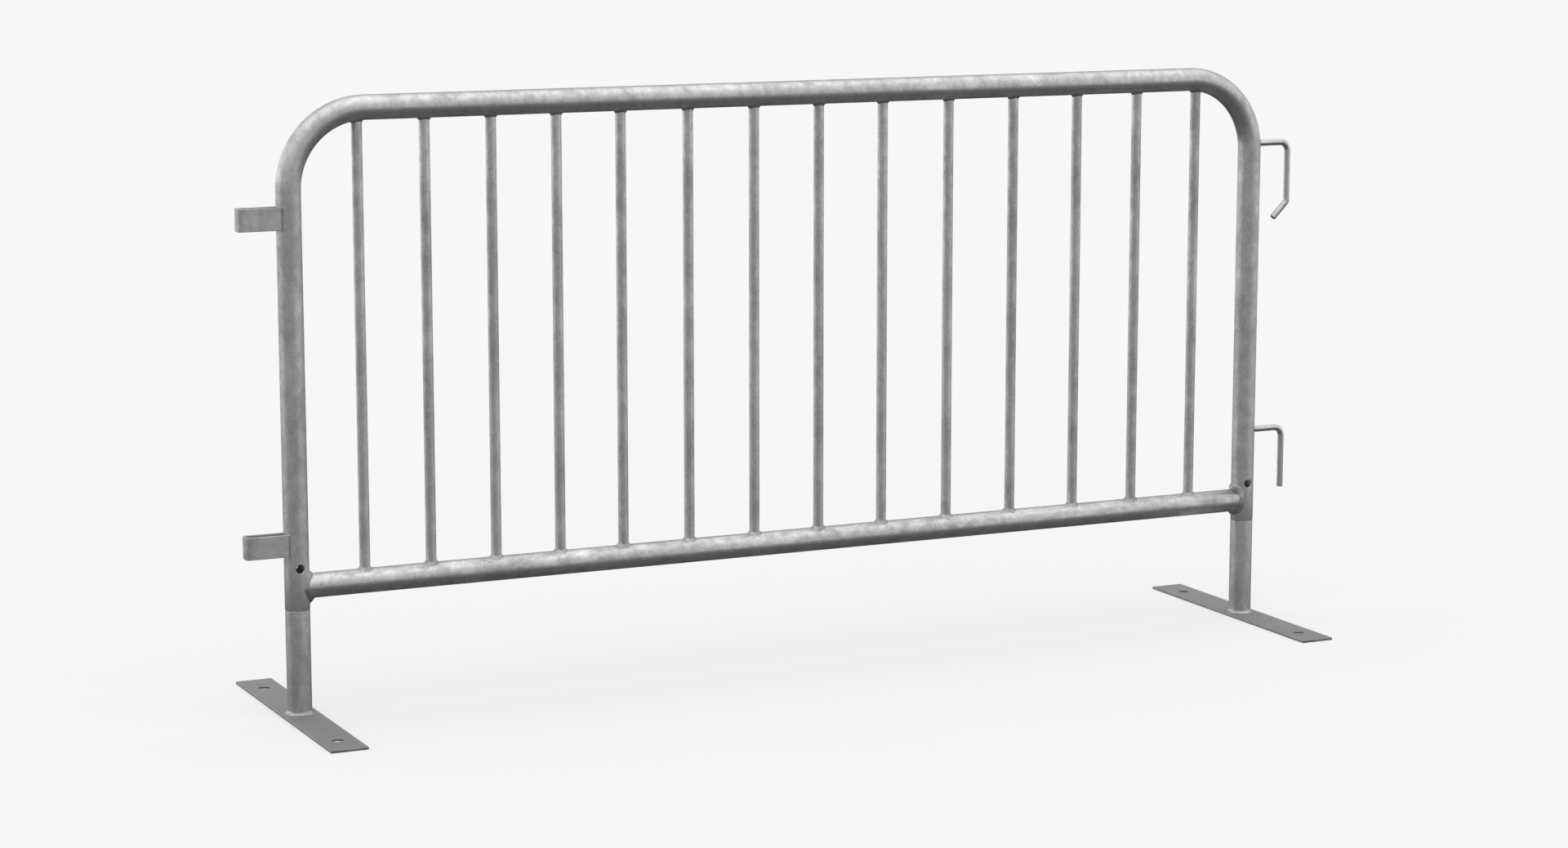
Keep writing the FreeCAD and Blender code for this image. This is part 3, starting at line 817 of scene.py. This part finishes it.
def swept_bar(name, path, places, outline, across, chamfer=0.6 * MM):
    """outline points are (out of the bend, along the direction across)."""
    big = max(abs(number) for point in outline for number in point)
    end_scale = 1 - chamfer / big
    rows = [(0.0, end_scale), (chamfer, 1.0)]
    rows += [(s, 1.0) for s in places if chamfer < s < path.length - chamfer]
    rows += [(path.length - chamfer, 1.0), (path.length, end_scale)]
    points = []
    for s, scale in rows:
        centre, along = path.at(s)
        side = along.cross(across)
        points += [centre + (side * u + across * v) * scale for u, v in outline]
    count = len(outline)
    faces = [(row * count + i, row * count + (i + 1) % count, (row + 1) * count + (i + 1) % count,
              (row + 1) * count + i) for row in range(len(rows) - 1) for i in range(count)]
    faces += [tuple(range(count)), tuple(range((len(rows) - 1) * count, len(rows) * count))]
    made = new_object(name, points, faces)
    face_outwards(made.data)
    return made


ROD = extent("lower_hook").y / 2
print(f"the hooks' rod is {2 * ROD / MM:.1f} mm thick")


# %% [markdown]
# The design's boxes give each hook's reach and height. The lower one ends straight. On the upper one
# the last stretch of rod turns back towards the upright, and its drop is worked out from the angle, so
# that the rod's corner still ends at the bottom of its box.

# %% Bend the hooks
HOOK_BEND = 16.5 * MM                        # bends are measured to the rod's centre
KINK_BEND = 9 * MM
KINK = math.radians(45)
TAIL = 44 * MM                               # rod past the kink's corner
inside_wall = RIGHT + TUBE - 1.5 * MM        # the rod starts within the upright's wall, out of sight
for hook in ("upper_hook", "lower_hook"):
    low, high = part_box(hook)
    arm, leg = high.z - ROD, high.x - ROD
    corners = [Vector((inside_wall, 0, arm)), Vector((leg, 0, arm))]
    bends = [HOOK_BEND]
    if hook == "upper_hook":
        tail_end = low.z + ROD * math.sin(KINK)
        corners += [Vector((leg, 0, tail_end + TAIL * math.cos(KINK))),
                    Vector((leg - TAIL * math.sin(KINK), 0, tail_end))]
        bends.append(KINK_BEND)
    else:
        corners.append(Vector((leg, 0, low.z)))
    rod_path = BentPath(corners, bends)
    rod_rings = rod_path.stations(coarse=20 * MM, fine=1.5 * MM)
    rod = swept_bar(hook + "_rod", rod_path, rod_rings, circle_outline(ROD), Vector((0, 1, 0)))
    finish_piece(rod, "frame", ROD_ZINC, [hook], crease=40)

# %% [markdown]
# The hooks' roots have only a thin bead. It is the same ring as on the bars, for a thinner rod, laid on
# its side against the upright.

# %% Weld the hooks
for hook in ("upper_hook", "lower_hook"):
    ring = bead_ring(hook + "_ring", ROD, TUBE, rise=2.6 * MM, spread=2.2 * MM, bulge=0.2 * MM,
                     steps=7, around=56)
    ring.data.transform(Matrix.Rotation(math.pi / 2, 4, "Y"))
    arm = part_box(hook)[1].z - ROD
    made = weld(hook + "_bead", ring, [Vector((RIGHT + TUBE, 0, arm))], [(0, 0, 0)],
                lump=4 * MM, height=1 * MM, seed_number=5.0)
    finish_piece(made, "frame", WELD_ZINC, [hook + "_weld"])


# %% [markdown]
# ## Strap loops
# On the other upright, two pieces of flat strap are bent to a narrow U for the next barrier's hooks. The
# outline is the strap's section with its sheared edges rounded, and the path is the U seen from above.
# The ends are cut to the tube's curve, so each end ring is moved back on to the tube's skin.

# %% Bend the loops
STRAP = 5 * MM
STRAP_EDGE = 0.8 * MM        # round on the sheared edges
EDGE_STEPS = 4
LOOP_GAP = 20 * MM           # inside the loop
LOOP_CORNER = 9 * MM         # outside radius of its bends
UNDER_SKIN = 0.6 * MM        # how far a strap's end is set into the tube
FLAT_WEIGHT = 80


def strap_outline(thick, tall, edge):
    """A rectangle with rounded corners."""
    outline = []
    for number, (sx, sy) in enumerate(((1, 1), (-1, 1), (-1, -1), (1, -1))):
        for step in range(EDGE_STEPS + 1):
            angle = math.pi / 2 * (number + step / EDGE_STEPS)
            outline.append((sx * (thick / 2 - edge) + edge * math.cos(angle),
                            sy * (tall / 2 - edge) + edge * math.sin(angle)))
    return outline


def cope(made, reach):
    """Move the ends of a strap on to a round tube, just under its skin."""
    skin = TUBE - UNDER_SKIN
    for vertex in made.data.vertices:
        if vertex.co.x > reach:
            vertex.co.x = LEFT - math.sqrt(skin ** 2 - vertex.co.y ** 2)


def leave_flats_flat(made):
    """Let the large faces decide the shading, so that only the rounded edges look round."""
    made.data.shade_smooth()
    made.modifiers.new("flats", "WEIGHTED_NORMAL").weight = FLAT_WEIGHT
    return plain_mesh(made)


for loop in ("upper_loop", "lower_loop"):
    low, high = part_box(loop)
    half_gap, far, height = (LOOP_GAP + STRAP) / 2, low.x + STRAP / 2, (low.z + high.z) / 2
    near = LEFT - TUBE * 0.8                 # anywhere inside the tube will do, as the ends are moved
    corners = [Vector((near, -half_gap, height)), Vector((far, -half_gap, height)),
               Vector((far, half_gap, height)), Vector((near, half_gap, height))]
    strap_path = BentPath(corners, [LOOP_CORNER - STRAP / 2] * 2)
    strap_rings = strap_path.stations(coarse=12 * MM, fine=0.8 * MM)
    strap = swept_bar(loop + "_strap", strap_path, strap_rings,
                      strap_outline(STRAP, high.z - low.z, STRAP_EDGE), Vector((0, 0, 1)),
                      chamfer=0.05 * MM)
    cope(strap, near - 1 * MM)
    leave_flats_flat(strap)
    finish_piece(strap, "frame", FLAT_ZINC, [loop])


# %% [markdown]
# A straight bead runs down the corner between each strap end and the tube. Here the tree follows lines:
# it turns each edge of the starting mesh into a curve, carries a round section along it and lets noise
# thicken and thin it.

# %% Write the bead on a line
BEAD_RINGS, BEAD_SIDES = 60, 20
seams = Recipe("bead on a line")
bead_radius = seams.ask("Bead Radius", "Float", 2 * MM)
ripple = seams.ask("Ripple", "Float", 0.5 * MM)
ripple_size = seams.ask("Ripple Size", "Float", 4 * MM)
lines = seams.node("GeometryNodeMeshToCurve", {}, {"Mesh": seams.given.outputs["Geometry"]})
resampled = seams.node("GeometryNodeResampleCurve", {}, {"Curve": lines, "Count": BEAD_RINGS})
section = seams.node("GeometryNodeCurvePrimitiveCircle", {}, {"Resolution": BEAD_SIDES, "Radius": bead_radius})
bead_mesh = seams.node("GeometryNodeCurveToMesh", {}, {"Curve": resampled, "Profile Curve": section,
                                                       "Fill Caps": True})
rippling = seams.node("ShaderNodeMath", {"operation": "DIVIDE"}, {0: 1.0, 1: ripple_size})
waves = seams.node("ShaderNodeTexNoise", {}, {"Scale": rippling, "Detail": 2.0})
wave = seams.node("ShaderNodeMath", {"operation": "SUBTRACT"}, {0: waves, 1: 0.5})
wave_push = seams.node("ShaderNodeMath", {"operation": "MULTIPLY"}, {0: wave, 1: ripple})
facing = seams.node("GeometryNodeInputNormal")
wave_offset = seams.node("ShaderNodeVectorMath", {"operation": "SCALE"}, {0: facing, "Scale": wave_push})
rippled = seams.node("GeometryNodeSetPosition", {}, {"Geometry": bead_mesh, "Offset": wave_offset})
seams.serve(rippled, WELD_ZINC)
print(len(seams.tree.nodes), "nodes run a bead along a line")


# %% [markdown]
# Each end gets two lines: a long one down the strap's height, and a short one at the bottom that stands
# a little further out, which thickens the bead where the weld was ended.

# %% Run a bead down each strap end
BEAD_OFF_STRAP = 0.3 * MM    # the bead's middle, from the strap's face
BEAD_IN_TUBE = 0.6 * MM      # and from the tube's skin, inwards
BLOB = 0.7 * MM              # how much further out the short line stands
for loop in ("upper_loop", "lower_loop"):
    low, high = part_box(loop)
    side = LOOP_GAP / 2 + STRAP + BEAD_OFF_STRAP
    at_skin = LEFT - math.sqrt(TUBE ** 2 - side ** 2) + BEAD_IN_TUBE
    long_line = (low.z + 0.5 * MM, high.z - 1 * MM, 0.0)
    short_line = (low.z - 1 * MM, low.z + 3 * MM, BLOB)
    ends, edges = [], []
    for y in (-side, side):
        for bottom, top, out in (long_line, short_line):
            beside = y + math.copysign(out, y)
            edges.append((len(ends), len(ends) + 1))
            ends += [(at_skin, beside, bottom), (at_skin, beside, top)]
    line_mesh = bpy.data.meshes.new(loop + "_beads")
    line_mesh.from_pydata(ends, edges, [])
    made = bpy.data.objects.new(loop + "_beads", line_mesh)
    bpy.context.scene.collection.objects.link(made)
    seams.run(made, Bead_Radius=1.8 * MM, Ripple=1.2 * MM, Ripple_Size=6 * MM)
    finish_piece(made, "frame", WELD_ZINC, [loop + "_welds"])


# %% [markdown]
# ## Feet
# Each foot is a flat plate with a short leg welded on it. The plate is sheared flat bar with two drilled
# holes: a 2D curve with the holes as inner outlines, extruded and bevelled, which rounds the rims of
# the holes and the plate's edges alike. The curve grows outwards by its bevel, so the outlines are drawn
# that much smaller, and the holes that much larger.

# %% Shear and drill the plates
ANCHOR_HOLE = 11 * MM        # radius
ANCHOR_SPACING = 426 * MM
PLATE_EDGE = 1.3 * MM
WELDED = 1e-6                # points nearer than this become one


def closed_outline(curve, points):
    spline = curve.splines.new("POLY")
    spline.points.add(len(points) - 1)
    for target, (x, y) in zip(spline.points, points):
        target.co = (x, y, 0, 1)
    spline.use_cyclic_u = True


def foot_plate(name, node):
    low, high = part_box(node)
    centre, size = (low + high) / 2, high - low
    curve = bpy.data.curves.new(name, "CURVE")
    curve.dimensions, curve.fill_mode = "2D", "BOTH"
    curve.extrude = size.z / 2 - PLATE_EDGE
    curve.bevel_depth, curve.bevel_resolution = PLATE_EDGE, 3
    half_x, half_y = size.x / 2 - PLATE_EDGE, size.y / 2 - PLATE_EDGE
    closed_outline(curve, [(-half_x, -half_y), (half_x, -half_y), (half_x, half_y), (-half_x, half_y)])
    for sign in (-1, 1):
        ring = circle_outline(ANCHOR_HOLE + PLATE_EDGE, 48)
        closed_outline(curve, [(x, sign * ANCHOR_SPACING / 2 + y) for x, y in ring])
    pattern = bpy.data.objects.new(name + "_curve", curve)
    bpy.context.scene.collection.objects.link(pattern)
    bpy.context.view_layer.update()
    seen = pattern.evaluated_get(bpy.context.evaluated_depsgraph_get())
    mesh = bpy.data.meshes.new_from_object(seen)
    bpy.data.objects.remove(pattern)
    shell = bmesh.new()
    shell.from_mesh(mesh)
    bmesh.ops.remove_doubles(shell, verts=shell.verts, dist=WELDED)
    bmesh.ops.translate(shell, verts=shell.verts, vec=centre)
    shell.to_mesh(mesh)
    shell.free()
    face_outwards(mesh)
    made = bpy.data.objects.new(name, mesh)
    bpy.context.scene.collection.objects.link(made)
    return leave_flats_flat(made)


print(f"a plate is {extent('left_foot_plate').z / MM:.0f} mm thick")


# %% [markdown]
# ## Turned pieces
# What is round about one axis is turned: an outline of radii and heights goes round that axis. A
# second helper gives the points of part of a circle, for the round edges in such an outline.

# %% Turn an outline
def turned(name, x, outline, around=96):
    points = [Vector((x + radius * math.cos(2 * math.pi * side / around),
                      radius * math.sin(2 * math.pi * side / around), z))
              for side in range(around) for radius, z in outline]
    count = len(outline)
    faces = [(side * count + i, (side + 1) % around * count + i,
              (side + 1) % around * count + (i + 1) % count, side * count + (i + 1) % count)
             for side in range(around) for i in range(count)]
    made = new_object(name, points, faces)
    face_outwards(made.data)
    return made


def quarter(centre_r, centre_z, radius, first, last, steps=6):
    """Part of a circle in the outline, from one angle to another in degrees."""
    angles = [math.radians(first + (last - first) * step / steps) for step in range(steps + 1)]
    return [(centre_r + radius * math.cos(a), centre_z + radius * math.sin(a)) for a in angles]


print(f"a leg is {extent('left_leg').z / MM:.0f} mm high")


# %% [markdown]
# ## Legs and their welds
# The leg's top edge is rounded and stands a little under the upright, so the seam shows as a thin dark
# line and the leg can turn without touching. The weld at its base is a smooth hollow fillet. Leg and
# fillet are both sunk a little into the plate.

# %% Weld the feet together
LEG_EDGE = 0.7 * MM
LEG_GAP = 0.6 * MM
BORE_EDGE = 0.3 * MM
FILLET = 7 * MM
FILLET_SINK = 0.05 * MM
FOOT_OVERLAP = 0.5 * MM      # how far the hidden faces lie inside the plate and the leg
for side, centre in (("left", LEFT), ("right", RIGHT)):
    body = side + "_foot"
    plate = foot_plate(side + "_foot_flat", side + "_foot_plate")
    finish_piece(plate, body, PLATE_ZINC, [side + "_foot_plate"])

    low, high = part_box(side + "_leg")
    leg_radius = (high.x - low.x) / 2
    top, bottom = high.z - LEG_GAP, low.z - FOOT_OVERLAP
    outline = [(leg_radius, bottom)]
    outline += quarter(leg_radius - LEG_EDGE, top - LEG_EDGE, LEG_EDGE, 0, 90)
    outline += quarter(BORE + BORE_EDGE, top - BORE_EDGE, BORE_EDGE, 90, 180, 3)
    outline += [(BORE, bottom)]
    leg = turned(side + "_leg_tube", centre, outline)
    finish_piece(leg, body, LEG_ZINC, [side + "_leg"], crease=50)

    fillet = quarter(leg_radius + FILLET, low.z + FILLET, FILLET, 180, 270, 14)
    fillet = [(radius - FILLET_SINK, z - FILLET_SINK) for radius, z in fillet]
    hidden = leg_radius - FOOT_OVERLAP
    fillet += [(leg_radius + FILLET, bottom), (hidden, bottom), (hidden, low.z + FILLET)]
    weld_ring = turned(side + "_foot_fillet", centre, fillet)
    finish_piece(weld_ring, body, FILLET_ZINC, [side + "_foot_weld"], crease=60)


# %% [markdown]
# ## Spigots
# The spigot is the loose tube inside the joint. It can only be seen through the pin hole, and when the
# foot is drawn off. It is drilled like the upright, so a pin could pass through both.

# %% Make the spigots
SPIGOT_WALL = 2 * MM
SPIGOT_EDGE = 0.6 * MM
for side, centre in (("left", LEFT), ("right", RIGHT)):
    low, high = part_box(side + "_spigot")
    spigot_path = BentPath([Vector((centre, 0, low.z)), Vector((centre, 0, high.z))], [])
    outer = (high.x - low.x) / 2
    holes = [(PIN_HEIGHT - low.z, drilled, PIN_HOLE) for drilled in (front, back)]
    spigot_rings = spigot_path.stations(coarse=30 * MM, fine=30 * MM)
    spigot = tube_shell(side + "_spigot_tube", spigot_path, spigot_rings, outer, outer - SPIGOT_WALL,
                        SPIGOT_EDGE, holes)
    finish_piece(spigot, side + "_spigot", TUBE_ZINC, [side + "_spigot"])


# %% [markdown]
# ## The floor
# The barrier stands on a wide pale floor. The floor gives a little light of its own, so that the
# shadows on it stay faint. Zinc mirrors whatever lies under it, and a bright floor would wash out the
# tubes' dark undersides, so the floor is hidden from reflections.

# %% Set the stage
FLOOR_SIZE = 60.0            # metres from its middle to an edge
FLOOR_TONE = 0.45
FLOOR_GRAIN = 0.01           # how much its tone wavers
GRAIN_SIZE = 0.6             # metres
FLOOR_GLOW = 0.44
corners_of_floor = ((-1, -1), (1, -1), (1, 1), (-1, 1))
floor = new_object("floor", [Vector((x * FLOOR_SIZE, y * FLOOR_SIZE, 0)) for x, y in corners_of_floor],
                   [(0, 1, 2, 3)])
paper = Finish(bpy.data.materials.new("floor_paper"))
grain = paper.noise(paper.node("ShaderNodeTexCoord", output="Object"), GRAIN_SIZE, 2)
tone = FLOOR_TONE + FLOOR_GRAIN * grain
pale = paper.node("ShaderNodeCombineColor", {"mode": "RGB"}, {"Red": tone, "Green": tone, "Blue": tone})
paper_shader = paper.node("ShaderNodeBsdfPrincipled", {}, {
    "Base Color": pale, "Roughness": 0.9, "Specular IOR Level": 0.1,
    "Emission Color": (1.0, 1.0, 1.0, 1.0), "Emission Strength": FLOOR_GLOW})
paper.node("ShaderNodeOutputMaterial", {}, {"Surface": paper_shader})
floor.data.materials.append(paper.owner)
floor.visible_glossy = False
print(f"the floor is {2 * FLOOR_SIZE:.0f} m wide")


# %% [markdown]
# ## The light
# The room itself is the light, a sky with no lamps. It is brightest overhead, dimmer at the height of
# the eye and dark below the horizon, which gives each tube a bright band near its top and a dark
# underside. The far side of the room is dimmer. Two soft walls of light stand low down: one to the
# far left, and a weaker one to the near right. The camera itself sees an even pale backdrop.

# %% Light the room
SKY = [(0.0, 0.03), (1.0, 1.0), (0.37, 0.03), (0.46, 0.3), (0.66, 0.32), (0.84, 0.64), (0.93, 0.92)]
SKY_STRENGTH = 1.6
FAR_SIDE_LOSS = 0.4
LEFT_WALL, LEFT_WALL_STRENGTH = (-0.65, 0.76, 0.5), 1.0      # x and y of its direction, and its edge
RIGHT_WALL, RIGHT_WALL_STRENGTH = (0.93, -0.37, 0.45), 0.5
BACKDROP = 0.93
world = bpy.data.worlds.new("soft_room")
bpy.context.scene.world = world
room = Finish(world)
direction = room.node("ShaderNodeTexCoord", output="Generated")
upward = room.node("ShaderNodeSeparateXYZ", {}, {"Vector": direction}, "Z")
behind = room.node("ShaderNodeSeparateXYZ", {}, {"Vector": direction}, "Y")
height = upward * 0.5 + 0.5              # 0 straight down, 0.5 at the horizon, 1 straight up
vertical = room.node("ShaderNodeValToRGB", {"stops": SKY}, {"Fac": height})
low_band = room.spread(upward, 0.75, 0.1) * room.spread(upward, -0.25, 0.0)


def soft_wall(x, y, edge):
    """A soft bright patch low in the room, in this direction. It fades out where the cosine is edge."""
    facing = room.node("ShaderNodeVectorMath", {"operation": "DOT_PRODUCT"},
                       {0: direction, 1: (x, y, 0.0)}, "Value")
    return room.spread(facing, edge, 0.95) * low_band


shaded = 1 - FAR_SIDE_LOSS * room.spread(behind, 0.1, 0.8)
glow = vertical * shaded * SKY_STRENGTH + soft_wall(*LEFT_WALL) * LEFT_WALL_STRENGTH
glow = glow + soft_wall(*RIGHT_WALL) * RIGHT_WALL_STRENGTH
seen = room.node("ShaderNodeLightPath", output="Is Camera Ray")
level = glow * (1 - seen) + BACKDROP * seen
grey = room.node("ShaderNodeCombineColor", {"mode": "RGB"}, {"Red": level, "Green": level, "Blue": level})
background = room.node("ShaderNodeBackground", {}, {"Color": grey, "Strength": 1.0})
room.node("ShaderNodeOutputWorld", {}, {"Surface": background})
bpy.context.scene.view_settings.view_transform = "Standard"
print(len(room.tree.nodes), "nodes light the room")


# %% [markdown]
# ## The camera
# The camera stands about six metres in front of the panel and past its left end, at eye level, and
# looks slightly down. It stands well back with a long lens, so the far end is only a little smaller.

# %% Place the camera
LENS, SENSOR = 81.43, 36.0                   # in millimetres, as Blender asks for
PLACE = (-2.8395, -5.9262, 1.5404)
TILT, TURN = 80.636, -25.358                 # degrees: tilt 90 is level, and turn 0 looks along +Y
camera_data = bpy.data.cameras.new("camera")
camera_data.lens, camera_data.sensor_width = LENS, SENSOR
camera_data.clip_start, camera_data.clip_end = 0.1, 500.0
camera = bpy.data.objects.new("camera", camera_data)
bpy.context.scene.collection.objects.link(camera)
camera.location = PLACE
camera.rotation_euler = (math.radians(TILT), 0, math.radians(TURN))
bpy.context.scene.camera = camera
print(f"the camera is {math.dist(PLACE, (0, 0, 0)):.1f} m from the origin")
